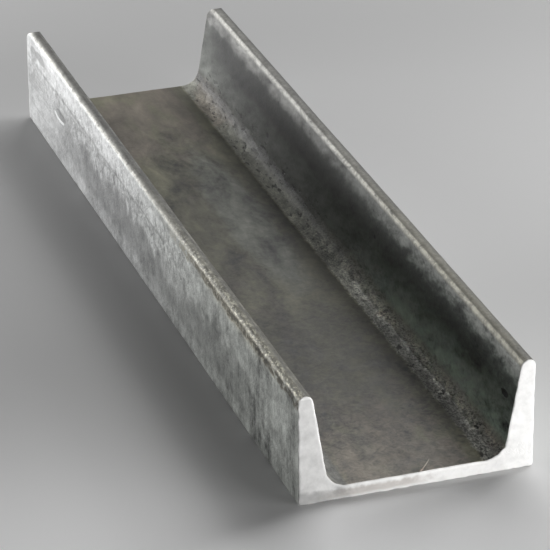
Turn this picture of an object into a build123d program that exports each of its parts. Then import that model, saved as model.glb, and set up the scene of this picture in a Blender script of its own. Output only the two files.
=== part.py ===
from build123d import *
from math import hypot
import os

# A short sawn length of hot-rolled steel channel with tapered flanges, lying on the back of its web.
# Millimetres. X runs across the web from flange to flange, Y along the rolled length, and Z up from
# the back of the web to the toes. The origin is on the back of the web, at its middle.

# Driving dimensions of the rolled section
depth = 76.2                  # over the backs of the two flanges
flange_width = 37.0           # from the back of the web to the toes
web_thickness = 4.7
toe_thickness = 4.5           # of a flange at its toe, before the toe is rounded
flange_slope_share = 1 / 6    # lean of a flange's inner face, across for each unit down from the toe
root_radius = 6.9             # inside corner of web and flange
toe_back_radius = 2.2         # edge of the toe towards the flange's back
toe_flat = 0.2                # crown left between the toe's two rounded edges
heel_radius = 0.95            # outside corner of web and flange

# Driving dimension of the sawn piece
length = 310.0


def flange_thickness_at(height):
    """Thickness of a flange at a height above the web's back: its back is upright, its inner face leans."""
    return toe_thickness + flange_slope_share * (flange_width - height)


def toe_radius():
    """Radius of the toe's edge towards the trough, which takes up the rest of the toe's thickness.

    The corner is a right angle plus the lean, so its tangent arc is longer across than a square corner's.
    """
    room = toe_thickness - toe_back_radius - toe_flat
    return room * (hypot(1, flange_slope_share) + flange_slope_share)


def section_corners():
    """Corners of the section before rounding, each with the radius that rounds it off.

    The right half runs from heel to root, and the left half is its mirror image in reverse order.
    """
    back = depth / 2
    toe = back - flange_thickness_at(flange_width)
    root = back - flange_thickness_at(web_thickness)
    right = [
        ((back, 0), heel_radius),
        ((back, flange_width), toe_back_radius),
        ((toe, flange_width), toe_radius()),
        ((root, web_thickness), root_radius),
    ]
    left = [((-across, up), radius) for (across, up), radius in reversed(right)]
    return right + left


def channel():
    """The rolled section, drawn out from the middle of the piece to both sawn ends."""
    corners, radii = zip(*section_corners())
    with BuildPart() as stock:
        with BuildSketch(Plane.XZ):
            with BuildLine():
                FilletPolyline(*corners, radius=radii, close=True)
            make_face()
        extrude(amount=length / 2, both=True)
    return stock.part


os.makedirs("parts", exist_ok=True)
export_step(channel(), "parts/channel.step")
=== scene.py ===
import math

import bpy
import numpy as np
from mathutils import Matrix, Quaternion, Vector


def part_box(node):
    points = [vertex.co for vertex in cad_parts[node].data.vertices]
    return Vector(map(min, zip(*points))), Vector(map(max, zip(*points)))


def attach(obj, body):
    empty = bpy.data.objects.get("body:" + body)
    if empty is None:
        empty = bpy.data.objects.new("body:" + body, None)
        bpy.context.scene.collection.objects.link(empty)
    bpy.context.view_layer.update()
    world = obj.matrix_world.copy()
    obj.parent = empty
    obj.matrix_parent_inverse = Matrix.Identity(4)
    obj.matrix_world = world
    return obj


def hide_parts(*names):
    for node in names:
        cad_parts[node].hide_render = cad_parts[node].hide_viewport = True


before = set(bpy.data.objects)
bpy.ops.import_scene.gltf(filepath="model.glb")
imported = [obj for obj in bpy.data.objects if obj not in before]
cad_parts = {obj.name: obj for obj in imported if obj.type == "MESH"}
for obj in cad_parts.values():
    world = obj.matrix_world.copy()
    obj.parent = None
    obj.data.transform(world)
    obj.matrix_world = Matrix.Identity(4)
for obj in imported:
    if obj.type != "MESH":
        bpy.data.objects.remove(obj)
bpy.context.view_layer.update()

# A sawn length of hot-rolled channel, lying on the back of its web on a pale studio floor.
# Sizes of the steel are in millimetres, and the meshes, lamps and camera are in metres.
mm = 0.001

# Overall size from the frame
half_depth, half_length, flange_width = np.array(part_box("channel")[1]) / mm

# The rolled section
web_thickness = 4.7
toe_thickness = 4.5
flange_slope = 1 / 6
root_radius = 6.9
toe_back_radius = 2.2
toe_flat = 0.2
heel_radius = 0.95
lean = math.degrees(math.atan(flange_slope))

# Rounds of the ends: the near edge is ragged from the saw, and the rear end is worn
near_edge_radius = 0.28
near_edge_swing = 0.26
rear_edge_radius = 1.3
rear_toe_radius = 8.5
rear_foot_radius = 2.5


# Section and sweep

def line(start, stop, count):
    """Straight run: start plus even shares of the way to stop, without the last point."""
    share = np.linspace(0, 1, count, endpoint=False)[:, None]
    return (1 - share) * np.array(start) + share * np.array(stop)


def arc(centre, radius, start, stop, count):
    """Round run: centre plus radius times cosine and sine of even angles, without the last point."""
    angle = np.radians(np.linspace(start, stop, count, endpoint=False))
    return np.array(centre) + radius * np.stack([np.cos(angle), np.sin(angle)], 1)


def inner_face_at(height):
    """Where the right flange's inner face is: the back, less a thickness that grows downwards."""
    return half_depth - toe_thickness - flange_slope * (flange_width - height)


def on_inner_face(along, height):
    """Point of the right flange's inner face at a place along the steel and a height."""
    return inner_face_at(height), along, height


def section():
    """The rolled section as two curves from the right toe's crown to the left toe's, outer and inner.

    Equal places in the two lists face each other through the steel: the flange's back and its inner
    face, the heel corner and the root's round, the web's back and its inside. The left half is the
    right half mirrored.
    """
    stretch = math.hypot(1, flange_slope)
    crown = (half_depth - toe_back_radius - toe_flat / 2, flange_width)
    toe_radius = (toe_thickness - toe_back_radius - toe_flat) * (stretch + flange_slope)
    toe_centre = (crown[0] - toe_flat / 2, flange_width - toe_radius)
    toe_end = (toe_centre[0] - toe_radius / stretch, toe_centre[1] + toe_radius * flange_slope / stretch)
    root_height = web_thickness + root_radius
    root_top = root_height - root_radius * flange_slope / stretch
    root_centre = (inner_face_at(root_top) - root_radius / stretch, root_height)
    back = half_depth - heel_radius
    outer = np.concatenate([
        [crown],
        arc((half_depth - toe_back_radius, flange_width - toe_back_radius), toe_back_radius, 90, 0, 10),
        line((half_depth, flange_width - toe_back_radius), (half_depth, root_top), 28),
        line((half_depth, root_top), (half_depth, heel_radius), 7),
        arc((back, heel_radius), heel_radius, 0, -90, 6),
        line((back, 0), (root_centre[0], 0), 11),
        line((root_centre[0], 0), (0, 0), 22),
        [(0, 0)],
    ])
    inner = np.concatenate([
        [crown],
        arc(toe_centre, toe_radius, 90, 180 - lean, 10),
        line(toe_end, (inner_face_at(root_top), root_top), 28),
        arc(root_centre, root_radius, -lean, -90, 24),
        line((root_centre[0], web_thickness), (0, web_thickness), 22),
        [(0, web_thickness)],
    ])
    mirror = np.array([-1, 1])
    return [np.concatenate([half, half[-2::-1] * mirror]) for half in (outer, inner)]


def stations(count):
    """Places along the steel: even between two close-set runs that draw the edges of the sawn ends."""
    edge = np.array([0, 0.1, 0.25, 0.5, 0.85, 1.3])
    inside = half_length - 2
    middle = np.linspace(-inside, inside, count - 2 * len(edge))
    return np.concatenate([edge - half_length, middle, half_length - edge[::-1]])


def grain(around, along, cell_around, cell_along, seed):
    """Random field from -1 to 1: numbers drawn for a lattice, blended smoothly between its points.

    Around is a share of the section's loop, so the lattice closes on itself; along is in millimetres.
    """
    cells = max(3, round(loop_length / cell_around))
    u = around * cells
    v = (along + half_length) / cell_along
    lattice = np.random.default_rng(seed).uniform(-1, 1, (cells, int(v.max()) + 2))
    column = np.floor(u).astype(int) % cells
    row = np.floor(v).astype(int)
    right = u - np.floor(u)
    up = v - row
    right = right * right * (3 - 2 * right)
    up = up * up * (3 - 2 * up)
    near = lattice[column, row] * (1 - right) + lattice[(column + 1) % cells, row] * right
    far = lattice[column, row + 1] * (1 - right) + lattice[(column + 1) % cells, row + 1] * right
    return near * (1 - up) + far * up


def step(value, start, stop):
    """Smooth step from 0 at start to 1 at stop: three squares less two cubes of the share of the way."""
    share = np.clip((value - start) / (stop - start), 0, 1)
    return share * share * (3 - 2 * share)


# The section as one loop, with each point's share of the way round and its outward normal
outer_curve, inner_curve = section()
across_count = len(outer_curve)
ring = np.concatenate([outer_curve, inner_curve[-2:0:-1]])
ring_count = len(ring)
run = np.linalg.norm(np.roll(ring, -1, 0) - ring, axis=1)
loop_length = run.sum()
ring_share = (np.cumsum(run) - run) / loop_length
tangent = np.roll(ring, -1, 0) - np.roll(ring, 1, 0)
tangent /= np.linalg.norm(tangent, axis=1)[:, None]
ring_normal = np.stack([-tangent[:, 1], tangent[:, 0]], 1)


# Marks in the skin, and the depth, centre and reach of each hollow, in millimetres
nick_place = on_inner_face(-147.2, 22.6)
pit_place = on_inner_face(-33.0, 23.7)
rear_pit_place = on_inner_face(74.5, 16.1)
scab_place = (-half_depth, 108.0, 19.8)
chip_place = (28.6, -half_length, 8.2)
crease_height = 34.4
hollows = [
    (0.60, nick_place, (1.2, 2.6, 0.9)),
    (0.35, pit_place, (1, 0.9, 0.7)),
    (0.30, rear_pit_place, (1, 1.0, 0.8)),
    (0.25, scab_place, (1, 6.0, 0.9)),
    (0.50, chip_place, (0.9, 0.8, 0.6)),
]


def dent(place, centre, reach):
    """Soft round hollow: falls from 1 at its centre as the bell curve of the distance over the reach."""
    return np.exp(-(((place - np.array(centre)) / np.array(reach)) ** 2).sum(-1))


def wear(place, around, along):
    """How far the rolled skin lies below the true section, in millimetres, never outside it.

    The sum of long shallow rolling waves, blotches where scale has come off, pits in both roots, a
    crease under the left toe, and the hollows in the list above.
    """
    wave_depth = 0.05
    blotch_depth = 0.03
    pit_depth = 0.12
    crease_depth = 0.16
    across, height = place[..., 0], place[..., 2]
    waves = 1 + grain(around, along, 8, 38, 11)
    blotches = 1 + grain(around, along, 3.2, 4.0, 12)
    in_root = step(np.abs(across), 18, 22) * step(height, 1.5, 4) * (1 - step(height, 10, 15))
    pits = step(grain(around, along, 1.5, 1.8, 13), 0.1, 0.9)
    pits += step(grain(around, along, 2.4, 2.6, 14), 0.2, 0.9)
    crease = np.exp(-((height - crease_height - 0.5 * grain(around, along, 20, 9, 15)) / 0.45) ** 2)
    crease *= step(-across, 36.5, 37.5) * (1 - step(along, -95, -30))
    worn = wave_depth * waves + blotch_depth * blotches + pit_depth * in_root * pits + crease_depth * crease
    return worn + sum(depth * dent(place, centre, reach) for depth, centre, reach in hollows)


def rounded_rear(place):
    """The rear end's worn corners: a point past a corner's quarter circle moves back onto it.

    Seen from the side, the toes end in a circle and the foot of the web's back in a smaller one.
    """
    for radius, top in ((rear_toe_radius, True), (rear_foot_radius, False)):
        centre = np.array([half_length - radius, flange_width - radius if top else radius])
        offset = place[..., 1:] - centre
        out = (offset[..., 0] > 0) & ((offset[..., 1] > 0) if top else (offset[..., 1] < 0))
        length = np.linalg.norm(offset, axis=-1)
        share = np.where(out & (length > radius), radius / np.maximum(length, radius), 1)
        place[..., 1:] = centre + offset * share[..., None]
    return place


def steel_mesh():
    """The worn section carried along the steel, closed at both ends by a grid across the sawn face.

    A point of the skin is the section's point, moved in along its normal by the wear, at each station,
    and by the round of the sawn edge next to an end. A point of a sawn face is a share of the way from
    the outer curve to the inner one. At the crowns of the toes that way has no length, so the faces
    there are triangles.
    """
    station_count = 280
    along = stations(station_count)
    around = np.broadcast_to(ring_share[:, None], (ring_count, station_count))
    along_grid = np.broadcast_to(along, (ring_count, station_count))
    skin = np.empty((ring_count, station_count, 3))
    skin[..., 0] = ring[:, :1]
    skin[..., 1] = along_grid
    skin[..., 2] = ring[:, 1:]
    depth = wear(skin, around, along_grid)
    ragged = near_edge_radius + near_edge_swing * grain(ring_share, 0 * ring_share, 1.3, 5, 21)[:, None]
    edge = np.where(along < 0, ragged, rear_edge_radius)
    short = np.clip(edge - (half_length - np.abs(along)), 0, edge)
    depth = depth + edge - np.sqrt(edge ** 2 - short ** 2)
    skin[..., 0] -= ring_normal[:, :1] * depth
    skin[..., 2] -= ring_normal[:, 1:] * depth
    skin = rounded_rear(skin)
    points = [skin.reshape(-1, 3)]

    numbers = np.arange(ring_count * station_count).reshape(ring_count, station_count)
    turned = np.roll(numbers, -1, 0)
    cells = np.stack([numbers[:, :-1], turned[:, :-1], turned[:, 1:], numbers[:, 1:]], -1)
    quads = [cells.reshape(-1, 4)]
    triangles = []
    shares = np.array([0.06, 0.28, 0.5, 0.72, 0.94])
    first = ring_count * station_count
    for column, outward in ((0, -1), (station_count - 1, 1)):
        rim_highlight = skin[:, column]
        start = rim_highlight[:across_count]
        stop = np.roll(rim_highlight[::-1], 1, 0)[:across_count]
        face = start[1:-1, None] * (1 - shares[:, None]) + stop[1:-1, None] * shares[:, None]
        points.append(face.reshape(-1, 3))
        grid = np.empty((across_count, len(shares) + 2), int)
        grid[:, 0] = numbers[:across_count, column]
        grid[:, -1] = np.roll(numbers[::-1, column], 1)[:across_count]
        grid[0], grid[-1] = grid[0, 0], grid[-1, 0]
        grid[1:-1, 1:-1] = first + np.arange(face[..., 0].size).reshape(face.shape[:2])
        first += face[..., 0].size
        cells = np.stack([grid[:-1, :-1], grid[:-1, 1:], grid[1:, 1:], grid[1:, :-1]], -1)
        if outward > 0:
            cells = cells[..., ::-1]
        quads.append(cells[1:-1].reshape(-1, 4))
        # A cell at a crown holds one corner twice, and only one of the two is kept
        for poles in (cells[0], cells[-1]):
            triangles.append(poles[poles != np.roll(poles, -1, 1)].reshape(-1, 3))
    faces = np.concatenate(quads).tolist() + np.concatenate(triangles).tolist()
    mesh = bpy.data.meshes.new("channel_steel")
    mesh.from_pydata((np.concatenate(points) * mm).tolist(), [], faces)
    mesh.shade_smooth()
    sharp_angle = math.radians(40)
    mesh.set_sharp_from_angle(angle=sharp_angle)
    return mesh


def burr_mesh():
    """The saw's curl left standing on the web's near edge: an oval carried along a bent path.

    The path leans to the right and back as it rises: across is a power of the share of the way, and
    height is the share less a sine's sag. The oval narrows towards the tip by the square root of the
    share that is left, and a bell curve of the share thickens its foot.
    """
    share = np.linspace(0, 1, 17)
    angle = np.linspace(0, 2 * np.pi, 12, endpoint=False)
    across = 1.4 + 3.0 * share ** 1.3
    along = -half_length + 0.55 + 0.5 * share
    sag = 0.5 * np.sin(np.pi * share)
    height = 4.4 + 3.7 * share - sag
    path = np.stack([across, along, height], 1)
    taper = 0.30 * np.sqrt(1.0004 - share)
    foot = 0.35 * np.exp(-(share / 0.16) ** 2)
    width = (taper + foot)[:, None]
    sweep = width * np.cos(angle)
    flat = 0.35 * width * np.sin(angle)
    points = path[:, None] + np.stack([sweep, flat, -0.75 * sweep], -1)
    points = points.reshape(-1, 3)
    numbers = np.arange(len(points)).reshape(len(share), len(angle))
    turned = np.roll(numbers, -1, 1)
    quads = np.stack([numbers[:-1], numbers[1:], turned[1:], turned[:-1]], -1).reshape(-1, 4)
    faces = quads.tolist() + [numbers[0].tolist(), numbers[-1, ::-1].tolist()]
    mesh = bpy.data.meshes.new("saw_burr")
    mesh.from_pydata((points * mm).tolist(), [], faces)
    mesh.shade_smooth()
    return mesh


# Materials

black = (0, 0, 0, 1)
white = (1, 1, 1, 1)


class Shade:
    """A socket of a node tree. Arithmetic on it adds Math nodes, and node() adds any other node."""

    def __init__(self, tree, socket=None):
        self.tree = tree
        self.socket = socket

    def node(self, kind, settings=None, sockets=None, output=0):
        """A new node: its settings come first, then a value or a link for each of its sockets."""
        made = self.tree.nodes.new(kind)
        for name, value in (settings or {}).items():
            setattr(made, name, value)
        for name, value in (sockets or {}).items():
            if isinstance(value, Shade):
                self.tree.links.new(value.socket, made.inputs[name])
            else:
                made.inputs[name].default_value = value
        return Shade(self.tree, made.outputs[output]) if len(made.outputs) else made

    def math(self, operation, *terms):
        return self.node("ShaderNodeMath", {"operation": operation}, dict(enumerate(terms)))

    def __add__(self, other):
        return self.math("ADD", self, other)

    def __sub__(self, other):
        return self.math("SUBTRACT", self, other)

    def __rsub__(self, other):
        return self.math("SUBTRACT", other, self)

    def __mul__(self, other):
        return self.math("MULTIPLY", self, other)

    __radd__ = __add__
    __rmul__ = __mul__

    def size(self):
        return self.math("ABSOLUTE", self)

    def wave(self):
        return self.math("SINE", self)

    def square_root(self):
        return self.math("SQRT", self)

    def at_least(self, least):
        return self.math("MAXIMUM", self, least)

    def rise(self, start, stop):
        """0 at start and 1 at stop, with a smooth step between."""
        ends = {"Value": self, "From Min": start, "From Max": stop}
        return self.node("ShaderNodeMapRange", {"interpolation_type": "SMOOTHSTEP"}, ends)

    def mix(self, first, second):
        """Colour that goes from the first to the second as this value goes from 0 to 1."""
        return self.node("ShaderNodeMix", {"data_type": "RGBA"}, {0: self, 6: first, 7: second}, 2)

    def stretched(self, x, y, z):
        return self.node("ShaderNodeVectorMath", {"operation": "MULTIPLY"}, {0: self, 1: (x, y, z)})

    def noise(self, scale, detail=2.0, roughness=0.5, swirl=0.0):
        sockets = {"Vector": self, "Scale": scale, "Detail": detail,
                   "Roughness": roughness, "Distortion": swirl}
        return self.node("ShaderNodeTexNoise", None, sockets)

    def bump(self, strength, distance):
        """Normal bent by this value as a height."""
        sockets = {"Strength": strength, "Distance": distance, "Height": self}
        return self.node("ShaderNodeBump", None, sockets)


def new_material(name):
    """An empty material, and a start for the nodes of its tree."""
    material = bpy.data.materials.new(name)
    material.use_nodes = True
    material.node_tree.nodes.clear()
    return material, Shade(material.node_tree)


def places(start):
    """Place on the piece in millimetres, and its values across, along and up."""
    metres = start.node("ShaderNodeTexCoord", None, None, "Object")
    place = metres.stretched(1 / mm, 1 / mm, 1 / mm)
    return place, *(place.node("ShaderNodeSeparateXYZ", None, {0: place}, axis) for axis in range(3))


def surface(start, **sockets):
    """Ends a material in one Principled shader."""
    names = {name.replace("_", " ").title(): value for name, value in sockets.items()}
    shader = start.node("ShaderNodeBsdfPrincipled", None, names)
    start.node("ShaderNodeOutputMaterial", None, {"Surface": shader})


def between(first, second, share):
    """The first value where the share is 0, the second where it is 1."""
    return first + (second - first) * share


def spot(place, centre, reach):
    """1 inside a soft-edged ellipsoid about a centre, 0 outside it."""
    away = place.node("ShaderNodeVectorMath", {"operation": "SUBTRACT"}, {0: place, 1: centre})
    away = away.stretched(*(1 / length for length in reach))
    length = away.node("ShaderNodeVectorMath", {"operation": "LENGTH"}, {0: away}, 1)
    return 1 - length.rise(0.45, 1)


def steel_finish():
    """Hot-rolled steel: scale on the backs, toes, inner faces and web, bright metal at the sawn ends.

    Each zone has a tone, which is how much light it gives back, and a tint. Zones are told apart by
    their place in the section, in millimetres. The grains are noises of about a millimetre up to a few
    centimetres, some of them drawn out along the steel, the way it was rolled. Each swings about zero.
    """
    material, start = new_material("rolled_steel")
    place, x, y, z = places(start)
    from_back = half_depth - x.size()
    rolled = place.stretched(1, 0.5, 1)
    slanted = place.node("ShaderNodeCombineXYZ", None, {0: x, 1: 0.4 * y, 2: z + 0.3 * y})

    # Parts of the length and the right half
    near = 1 - y.rise(-110, 60)
    rear = y.rise(-20, 60)
    right = x.rise(-5, 5)

    # Grains, from fine to broad, then those drawn out up the flange, along the steel or on a slant
    fine = place.noise(1.6, 3, 0.6) - 0.5
    speck = place.noise(0.75, 4, 0.65) - 0.5
    fleck = place.noise(0.40, 3, 0.6, 1.0) - 0.5
    patch = place.noise(0.17, 3, 0.55) - 0.5
    broad = place.noise(0.045, 2, 0.5) - 0.5
    teeth = place.stretched(1, 1, 0.35).noise(0.38, 2, 0.5) - 0.5
    drag = place.stretched(1, 1, 0.14).noise(0.17, 3, 0.6) - 0.5
    smear = rolled.noise(0.45, 3, 0.6, 0.8) - 0.5
    soft = rolled.noise(0.17, 3, 0.55, 0.6) - 0.5
    cloud = rolled.noise(0.070, 4, 0.62, 0.5) - 0.5
    puff = slanted.noise(0.11, 2, 0.5) - 0.5
    blur = slanted.noise(0.24, 3, 0.55, 0.4) - 0.5
    lines = place.stretched(1, 0.06, 1).noise(1.1, 2, 0.5) - 0.5

    # Backs: silver grey and flecked, with a painted sheen towards the toes, and a smooth darker band below
    back = 1 - from_back.rise(0.4, 1.2)
    ragged = z + 12 * teeth + 16 * broad + 8 * patch
    above = ragged.rise(17.5, 22.5)
    smooth = z.rise(4, 9) * (1 - above) * y.rise(-118, -85) * (1 - y.rise(60, 140))
    smooth = smooth * (1 - 0.7 * spot(place, (-half_depth, -30, 19), (4, 22, 10)))
    # Painted sheen: a lighter band along the top of the back, standing in for light caught towards the toe
    painted_sheen = (z + 6 * teeth + 6 * fleck + 6 * soft).rise(24.5, 31) * y.rise(-70, 50)
    dragged = 1 - y.rise(-115, -60)
    calm = y.rise(70, 130)
    back_tone = 0.53 + (0.30 + 0.02 * calm) * painted_sheen + (0.58 + 0.30 * near) * patch + 0.25 * broad
    back_tone = back_tone - 0.17 * painted_sheen * y.rise(110, 150)
    back_tone = back_tone + 0.09 * (1 - z.rise(6, 20)) * y.rise(80, 140)
    back_tone = back_tone + (1.15 * drag + 0.45 * soft) * dragged
    back_tone = back_tone + (0.20 * soft + 0.30 * lines + 0.25 * blur) * calm
    # Painted shade: the last factor darkens the lowest 12 mm of the back, by the floor, except at the rear
    # end
    back_tone = back_tone * (1 - 0.36 * smooth) * (0.86 + 0.14 * (z + 60 * y.rise(70, 110)).rise(2, 12))
    hatch = fleck * (0.40 + 0.75 * above * y.rise(-75, -30))
    back_tone = back_tone + (hatch + 0.45 * speck) * (1 - 0.65 * smooth) * (1 - 0.45 * calm)
    seam = 1 - (z + 3 * broad - 27).size().rise(0.1, 0.9)
    back_tone = back_tone * (1 - 0.26 * seam * y.rise(-45, 0))
    bruise = spot(place, (-half_depth, 144.5, 30.0), (3, 6, 3.6))
    bruise = bruise + spot(place, (-half_depth, 135, 31.4), (3, 9, 2.4))
    back_tone = back_tone * (1 - 0.42 * (bruise + 1.2 * fleck + 0.8 * speck).rise(0.1, 0.8))
    stained = z.rise(28, 34.5) * y.rise(-145, -115) * (1 - y.rise(-95, -20))
    back_tone = back_tone * (1 + 0.40 * stained) * (1 - 0.07 * (1 - y.rise(-155, -125)))
    crease = 1 - (z + 5 * patch - crease_height).size().rise(0.9, 2.2)
    crease = crease * (1 - right) * (1 - y.rise(-80, 10)) * (0.7 + 4 * fleck).rise(0, 1)
    back_tone = back_tone * (1 - 0.80 * crease)
    scab = spot(place, (-half_depth, 110.0, 18.4), (3, 8.5, 2.2))
    scab = scab - 1.7 * spot(place, (-half_depth, 109.5, 19.6), (3, 8.5, 2.3))
    scab = (scab + 0.9 * fleck).rise(0.10, 0.45)
    scab_rim = (spot(place, (-half_depth, 108.5, 19.6), (3, 9, 2.4)) + 1.5 * fleck).rise(0.3, 0.7)
    back_tone = between(back_tone * (1 - 0.34 * scab_rim), 0.90, scab)
    rear_rim = y.rise(half_length - 3.5, half_length - 1)
    back_tone = between(back_tone, 0.62, 0.7 * rear_rim) * (1 - 0.34 * right)
    under = 1 - z.rise(0.3, 1.0)
    under_tone = 0.34 + 0.35 * cloud + 0.30 * patch + 0.30 * smear + 0.25 * speck

    # Toes: a dull brown crown, down over the rear corners too, painted lighter on the side facing left and
    # darker on the side facing right. The left one has a painted highlight along its outer edge on its
    # rear half and painted glints on its near half, and the right one a painted highlight line inside
    past = (y - (half_length - rear_toe_radius)).at_least(0)
    left_over = rear_toe_radius ** 2 - past * past
    level = z + rear_toe_radius - left_over.square_root()
    toe = level.rise(34.3, 35.3) * from_back.rise(0.05, 0.5)
    outer_edge_glint = 1 - (from_back + 1.2 * smear).rise(0.6, 2.0)
    # Painted highlight: a thin light line along the left toe's inner edge
    inner_highlight = from_back.rise(3.2, 3.5) * (1 - from_back.rise(3.7, 4.1))
    outer_half = 1 - from_back.rise(1.6, 3.0)
    # Painted glints: bright grains on the outer part of the left toe's near half
    grains = rolled.noise(1.1, 3, 0.65).rise(0.47, 0.66)
    grains = grains * (1 - from_back.rise(1.2, 2.8)) * (1 - y.rise(-70, 0))
    # Painted highlight: worn here is the bright line along the left toe's outer edge, on its rear half
    worn = outer_edge_glint * y.rise(-70, 40)
    # Painted light: the left toe's outer half, which faces left, is lighter, most on the near half
    left_toe = 0.11 + (0.06 + 0.14 * near) * outer_half + (0.03 + 0.7 * smear) * inner_highlight
    mottle = (0.22 + 0.16 * near) * soft + (0.20 + 0.24 * near) * smear
    left_toe = left_toe + 0.16 * lines + mottle * (0.5 + 0.5 * outer_half) + 0.16 * speck
    # Painted shade: the left toe's inner side, which faces right, is darker
    left_toe = left_toe * (1 - 0.2 * from_back.rise(3.0, 4.0))
    left_toe = left_toe + worn * (0.40 + 1.3 * smear + 0.5 * fleck) + 0.62 * grains
    left_toe = left_toe.at_least(0.09)
    # Painted highlight: a white line along the right toe's inner edge, wider and softer on its rear half
    highlight_line = from_back.rise(3.75 - 0.15 * rear, 4.2 - 0.05 * rear)
    highlight_line = highlight_line * (1 - from_back.rise(4.35 - 0.1 * rear, 5.0))
    highlight_line = highlight_line * (0.56 + 0.02 * rear + (2.2 - 0.9 * rear) * smear + 0.6 * puff * rear)
    right_toe = 0.136 + 0.015 * near + 0.12 * soft + 0.16 * smear + 0.14 * speck
    # Painted light and shade: the right toe is lighter on its inner side, facing left, darker on its outer
    # side
    right_toe = right_toe * (0.66 + 1.25 * from_back.rise(1.2, 3.4))
    # Painted shade: the right toe darker at its rear end, where the crown bends down
    right_toe = right_toe * (1 - 0.35 * y.rise(half_length - 10, half_length - 3))
    right_toe = right_toe + highlight_line.at_least(0)
    toe_tone = between(left_toe, right_toe, right)

    # Inner faces: dark, with painted light in a band under the toes with a scalloped edge, and by the root
    scallops = (0.131 * y + 14 * broad + 4 * puff).wave().size() * rear
    edge = z - 3.2 * y.rise(-60, 40) + 3.2 * scallops
    edge = edge + (10 - 3 * rear) * puff + (7 - 4 * rear) * blur + 3 * smear
    edge = edge + 7 * rear * z.rise(29.5, 34)
    under_toe = edge.rise(28.0, 33.0)
    # Painted light: the band under the toes, where light from the low left lamp passes over the left toe
    face_tone = 0.067 + (0.32 - 0.225 * y.rise(-110, 10)) * under_toe * (0.6 + 0.4 * right)
    # Painted highlights: bright lobes along the band on the rear half, lighter still towards the top
    puff_highlights = 0.165 * (0.55 + 2.0 * puff + blur + 0.5 * scallops)
    face_tone = face_tone + puff_highlights * under_toe * z.rise(28.5, 34.0) * rear
    face_tone = face_tone * (1 + 0.35 * y.rise(50, 110) * (z + 6 * puff).rise(31.5, 34))
    # Painted light: the lower face by the root, most on the near half of the right flange
    face_tone = face_tone + (0.11 + 0.17 * near * right) * (1 - z.rise(8, 25))
    face_tone = face_tone + 0.07 * (1 - y.rise(-153, -118)) * (1 - under_toe) + 0.05 * y.rise(125, 150)
    shade_band = z.rise(20, 24) * (1 - z.rise(27, 33)) * y.rise(-30, 40) * (1 - y.rise(125, 150))
    face_tone = face_tone * (1 - 0.54 * shade_band) * (1 - 0.20 * rear * z.rise(24, 33))
    mottle = (0.5 + 1.4 * near) * smear + (0.5 + 0.7 * near) * speck
    face_tone = face_tone * (1 + 1.6 * puff + 2.0 * blur + mottle)
    nick = (spot(place, nick_place, (3, 3.6, 1.4)) + 1.6 * fleck).rise(0.2, 0.6)
    pit = spot(place, pit_place, (3, 1.4, 1.0))
    rear_pit = spot(place, rear_pit_place, (3, 1.8, 1.3))
    face_tone = face_tone * (1 - 0.97 * nick) * (1 - 0.8 * pit) * (1 - 0.7 * rear_pit)

    # Roots: pale grit and close pits on the near half, a few round holes and a dark upper edge behind,
    # with painted light low on the right root and painted shade at its foot on the near half
    clump = (rolled.noise(0.16, 2, 0.5) + 0.6 * blur).rise(0.40, 0.60)
    pits = slanted.noise(0.80, 3, 0.65).rise(0.53, 0.60)
    pits = pits * near * (0.3 + 0.7 * clump) * (1 - z.rise(7.5, 12))
    holes = place.stretched(1, 0.4, 1).noise(0.62, 2, 0.5).rise(0.60, 0.66)
    holes = holes * (1 - near) * right * x.rise(22, 24) * (1 - (z + 6 * soft).rise(11, 17))
    grit = slanted.noise(1.9, 3, 0.7).rise(0.36, 0.64)
    root_low = 1 - z.rise(5.2, 8.4)
    halfway = y.rise(-75, -20) * (1 - y.rise(45, 90))
    root_tone = 0.155 + (0.17 + 0.10 * clump) * near + (0.05 + 0.43 * near) * (grit - 0.4)
    # Painted light: the lower part of the right root, in the right flange's shadow, is lifted
    painted_root_light = 1.5 - 1.5 * near + 0.9 * halfway + 0.2 * rear * (1 - y.rise(95, 140))
    root_tone = root_tone * (1 + painted_root_light * root_low)
    root_tone = root_tone * (1 - 0.72 * rear * z.rise(5.8, 9.0)) * (1 + (0.6 + near) * speck)
    # Painted shade: darker at the root's foot along the web, on the near half short of the near end
    root_tone = root_tone * (1 - 0.60 * near * y.rise(-145, -120) * (1 - (z + 3 * smear).rise(4.9, 6.6)))
    root_tone = root_tone * (1 + 1.2 * soft + 1.2 * blur + 1.4 * smear) * (1 - 0.88 * pits)
    left_root = (0.12 + 0.05 * grit) * (1 + 2.0 * soft + 1.6 * smear)
    root_tone = between(left_root, root_tone, right)
    root = (x.size() + (2.4 * smear + 2 * soft) * (0.3 + 0.7 * near)).rise(21.5, 23.1) * z.rise(2.5, 4.2)
    root = root * (1 - (z + 5 * soft + 2 * smear).rise(7.5 - near, 13.0 - 2.5 * near))

    # Web: brown grey in soft blotches, flecked, with painted light at the near end, a pale streak along
    # its middle, painted shade along the foot of each root and a painted shadow beside the burr
    blotch = 0.42 * cloud + 0.18 * soft + 0.13 * smear + 0.05 * patch + 0.03 * speck
    blotch = blotch * (1 + 0.5 * y.rise(-40, 10) - 0.9 * y.rise(80, 130))
    blotch = blotch + (0.40 * fleck + 0.22 * patch + 0.15 * speck) * near
    # Painted light: the last 35 mm of the web at the near end are lifted
    web_tone = 0.155 + blotch + 0.06 * (1 - y.rise(-154, -120))
    along_middle = y.rise(-130, -85) * (1 - y.rise(75, 120))
    dark_left = spot(place, (-16, 32, web_thickness), (30, 75, 30))
    dark_near = spot(place, (-8, -82, web_thickness), (40, 54, 30))
    pale_streak = spot(place, (8, 32, web_thickness), (12, 80, 30))
    pale_streak = (pale_streak + 1.2 * soft).rise(0.1, 1.0)
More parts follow.
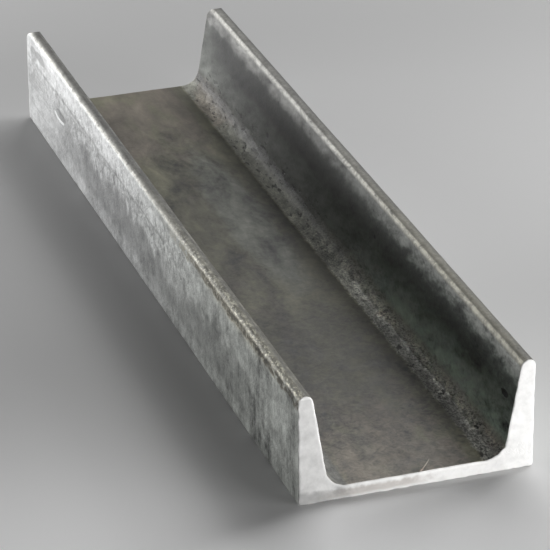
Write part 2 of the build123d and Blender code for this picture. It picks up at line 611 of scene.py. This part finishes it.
    # Painted shadow of the burr on the web beside its foot
    burr_shadow = spot(place, (0.3, -153.6, web_thickness), (1.8, 2.2, 2))
    web_tone = web_tone * (1 - 0.33 * along_middle) * (1 - 0.20 * dark_left)
    web_tone = web_tone * (1 + 0.36 * pale_streak) * (1 - 0.38 * dark_near) * (1 - 0.5 * burr_shadow)
    # Painted shade along the foot of each root, short of the near end, deeper on the right one's near half;
    # the right one's is tinted olive
    root_foot_shade = (x.size() + 3 * soft).rise(15, 21) * (1 - x.size().rise(22.4, 23.4))
    web_tone = web_tone * (1 - (0.18 + 0.20 * near * right) * root_foot_shade * y.rise(-154, -125))

    # The zones' tones laid over each other
    on_face = z.rise(7, 11)
    skin_tone = between(web_tone, face_tone, on_face)
    skin_tone = between(skin_tone, root_tone, root) * (1 - 0.7 * holes)
    skin_tone = between(skin_tone, under_tone, under)
    skin_tone = between(skin_tone, back_tone, back)
    skin_tone = between(skin_tone, toe_tone, toe)

    # Sawn ends: bright, painted lighter to the right, with a grey foot and a warm core streak to the left
    bloom = place.noise(0.32, 3, 0.55) - 0.5
    # Painted light: the sawn face grows lighter towards the right
    sawn_tone = 0.62 + 0.26 * x.rise(-34, 16) + 0.42 * bloom + 0.08 * fine
    foot = (1 - (z + 2 * bloom).rise(3.0, 4.8)) * (1 - (x + 20 * bloom).rise(-30, -16))
    streak = (z + 2 * bloom).rise(0.5, 1.6) * (1 - (z + 2 * bloom).rise(2.6, 3.8))
    core = streak * x.rise(-36, -20) * (1 - (x + 20 * bloom).rise(-6, 10))
    inner_rim = 1 - (x.size() - inner_face_at(z)).rise(0.2, 1.1)
    # Painted highlights along the rims of the left flange's sawn end and along the top of the web's
    rim_highlight = (inner_rim * z.rise(9, 12) + z.rise(35.4, 36.5)).rise(0, 1) * (1 - right)
    web_rim_highlight = z.rise(3.3, 4.1) * (1 - z.rise(5, 6)) * (1 - x.size().rise(22, 24))
    sawn_tone = sawn_tone * (1 - 0.34 * foot) * (1 - 0.26 * core) + 0.20 * rim_highlight + 0.10 * web_rim_highlight
    sawn_tone = sawn_tone * (1 - 0.35 * y.rise(0, 1))

    # The zones' tints, in the same order
    brown = (1.0, 0.875, 0.70, 1)
    olive = (1.0, 0.968, 0.66, 1)
    olive_share = (rolled.noise(0.085, 4, 0.6, 0.6) - 0.25 + 0.20 * along_middle).rise(0.18, 0.50)
    web_tint = (root_foot_shade * right + olive_share).rise(0, 1).mix(brown, olive)
    streak_grey = (0.96, 1.0, 0.84, 1)
    rust_brown = (1.0, 0.92, 0.79, 1)
    under_grey = (1.0, 0.985, 0.95, 1)
    stain_brown = (1.0, 0.94, 0.76, 1)
    web_tint = pale_streak.mix(web_tint, streak_grey)
    face_tint = (near * right).mix((0.95, 1.0, 0.92, 1), (0.84, 1.0, 0.87, 1))
    under_toe_tint = rear.mix((0.965, 1.0, 0.95, 1), (1.0, 1.0, 0.965, 1))
    root_tint = near.mix((0.985, 0.99, 0.86, 1), (1.0, 0.995, 0.90, 1))
    back_tint = near.mix((0.99, 1.0, 1.0, 1), (0.965, 1.0, 0.945, 1))
    toe_tint = near.mix((1.0, 0.985, 0.92, 1), (1.0, 0.967, 0.80, 1))
    sawn_tint = core.mix((1.0, 0.995, 0.98, 1), (1.0, 0.955, 0.91, 1))
    rust = (spot(place, (27, 130, 7.5), (10, 30, 6)) + 2.4 * soft).rise(0.3, 0.7)
    stain = (0.5 * stained + crease).rise(0, 1) * back
    tint = on_face.mix(web_tint, under_toe.mix(face_tint, under_toe_tint))
    tint = root.mix(tint, rust.mix(root_tint, rust_brown))
    tint = under.mix(tint, under_grey)
    tint = back.mix(tint, back_tint)
    tint = stain.mix(tint, stain_brown)
    tint = toe.mix(tint, toe_tint)

    sawn = y.size().rise(half_length - 0.45, half_length - 0.15)
    tone = between(skin_tone, sawn_tone, sawn)
    colour = tone.mix(black, sawn.mix(tint, sawn_tint))
    rough = 0.55 + 0.25 * fine + 0.2 * patch
    height = speck * (1 - 0.6 * smooth * back) + 0.5 * fine + 0.6 * fleck
    height = height - 0.8 * (pits * root * right + holes)
    in_trough = (1 - root) * (1 - back) * (1 - toe)
    height = height * (1 - 0.8 * sawn) * (1 - 0.8 * in_trough)
    surface(start, base_color=colour, roughness=rough, metallic=0.3 * back, normal=height.bump(0.6, 0.0004))
    return material


def burr_finish():
    """Bright torn steel, browner towards its foot."""
    material, start = new_material("torn_steel")
    place, _, _, z = places(start)
    foot_brown = (0.20, 0.16, 0.13, 1)
    tip_grey = (0.34, 0.31, 0.27, 1)
    torn = place.noise(1.4, 3, 0.6)
    colour = (z + 3 * torn).rise(5.6, 8.2).mix(foot_brown, tip_grey)
    rough = 0.45 + 0.3 * torn
    surface(start, base_color=colour, roughness=rough, metallic=0.4, normal=torn.bump(0.4, 0.0002))
    return material


def floor_finish():
    """Pale paper floor, with painted light towards the front and painted shade along the left flange."""
    material, start = new_material("pale_floor")
    _, x, y, _ = places(start)
    forward = 0 - y
    left = (0 - x).rise(20, 120)
    front = forward.rise(30, 240)
    # Painted light: lighter towards the front, in place of a lamp there
    tone = 0.37 + 0.19 * forward.rise(-220, 20) + 0.42 * front
    # Painted shade beside the left flange, where its shadow falls
    tone = tone * (1 - 0.16 * left * (1 - front) * (1 - y.rise(50, 120)))
    # Painted light again at the front left, away from the shadow
    tone = tone * (1 + 0.26 * left * forward.rise(20, 150))
    surface(start, base_color=tone.mix(black, white), roughness=0.9)
    return material


# Pieces

def add(mesh, finish):
    """A piece with its mesh and its one material."""
    piece = bpy.data.objects.new(mesh.name, mesh)
    mesh.materials.append(finish)
    bpy.context.scene.collection.objects.link(piece)
    return piece


channel = add(steel_mesh(), steel_finish())
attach(channel, "root")
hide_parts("channel")

burr = add(burr_mesh(), burr_finish())
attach(burr, "root")

floor_reach = 6.0
floor_corners = [(floor_reach * x, floor_reach * y, 0) for x, y in ((-1, -1), (1, -1), (1, 1), (-1, 1))]
ground = bpy.data.meshes.new("studio_floor")
ground.from_pydata(floor_corners, [], [(0, 1, 2, 3)])
add(ground, floor_finish())


# Light and camera

def softbox(name, place, aim, width, height, watts, spread=180):
    """A flat lamp at a place, turned to an aim. The spread of its beam is in degrees."""
    lamp = bpy.data.lights.new(name, "AREA")
    lamp.shape = "RECTANGLE"
    lamp.size = width
    lamp.size_y = height
    lamp.energy = watts
    lamp.spread = math.radians(spread)
    box = bpy.data.objects.new(name, lamp)
    box.location = place
    box.rotation_mode = "QUATERNION"
    box.rotation_quaternion = (Vector(aim) - Vector(place)).to_track_quat("-Z", "Y")
    box.visible_camera = False
    bpy.context.scene.collection.objects.link(box)


# Three boxes to the right and behind, which throw the shadow to the left
steel_middle = (0, 0, 0.02)
softbox("right_softbox", (0.48, 0.16, 0.55), steel_middle, 0.42, 0.42, 2.2)
softbox("rear_softbox", (0.33, 0.52, 0.60), steel_middle, 0.4, 0.4, 2.6)
softbox("low_softbox", (0.50, 0.10, 0.30), steel_middle, 0.2, 0.2, 0.8)

# Three strips: a low one on the near sawn end, a narrow beam on the near half of the right root, and
# a low one on the back of the left flange
softbox("front_strip", (0.75, -0.92, 0.058), (0.02, -0.155, 0.02), 0.78, 0.1, 13.5)
softbox("trough_strip", (-0.35, -0.085, 0.50), (0.026, -0.085, 0.009), 0.13, 0.006, 0.0014, 3)
softbox("left_strip", (-0.28, 0.37, 0.065), (-0.04, 0.1, 0.029), 0.45, 0.036, 1.6)

world = bpy.data.worlds.new("studio")
world.use_nodes = True
sky = world.node_tree.nodes["Background"].inputs
sky["Color"].default_value = white
sky["Strength"].default_value = 0.024
bpy.context.scene.world = world
bpy.context.scene.view_settings.view_transform = "Standard"

camera_data = bpy.data.cameras.new("camera")
camera_data.lens = 218.945
camera_data.sensor_width = 36
camera = bpy.data.objects.new("camera", camera_data)
camera_aim = Vector((-0.005873, -0.039394, 0.0185))
camera_roll = math.radians(-0.208)
camera.location = (-0.3248019, -0.9768017, 0.5072185)
turn = (camera_aim - camera.location).to_track_quat("-Z", "Y")
camera.rotation_mode = "QUATERNION"
camera.rotation_quaternion = turn @ Quaternion((0, 0, 1), camera_roll)
bpy.context.scene.collection.objects.link(camera)
bpy.context.scene.camera = camera
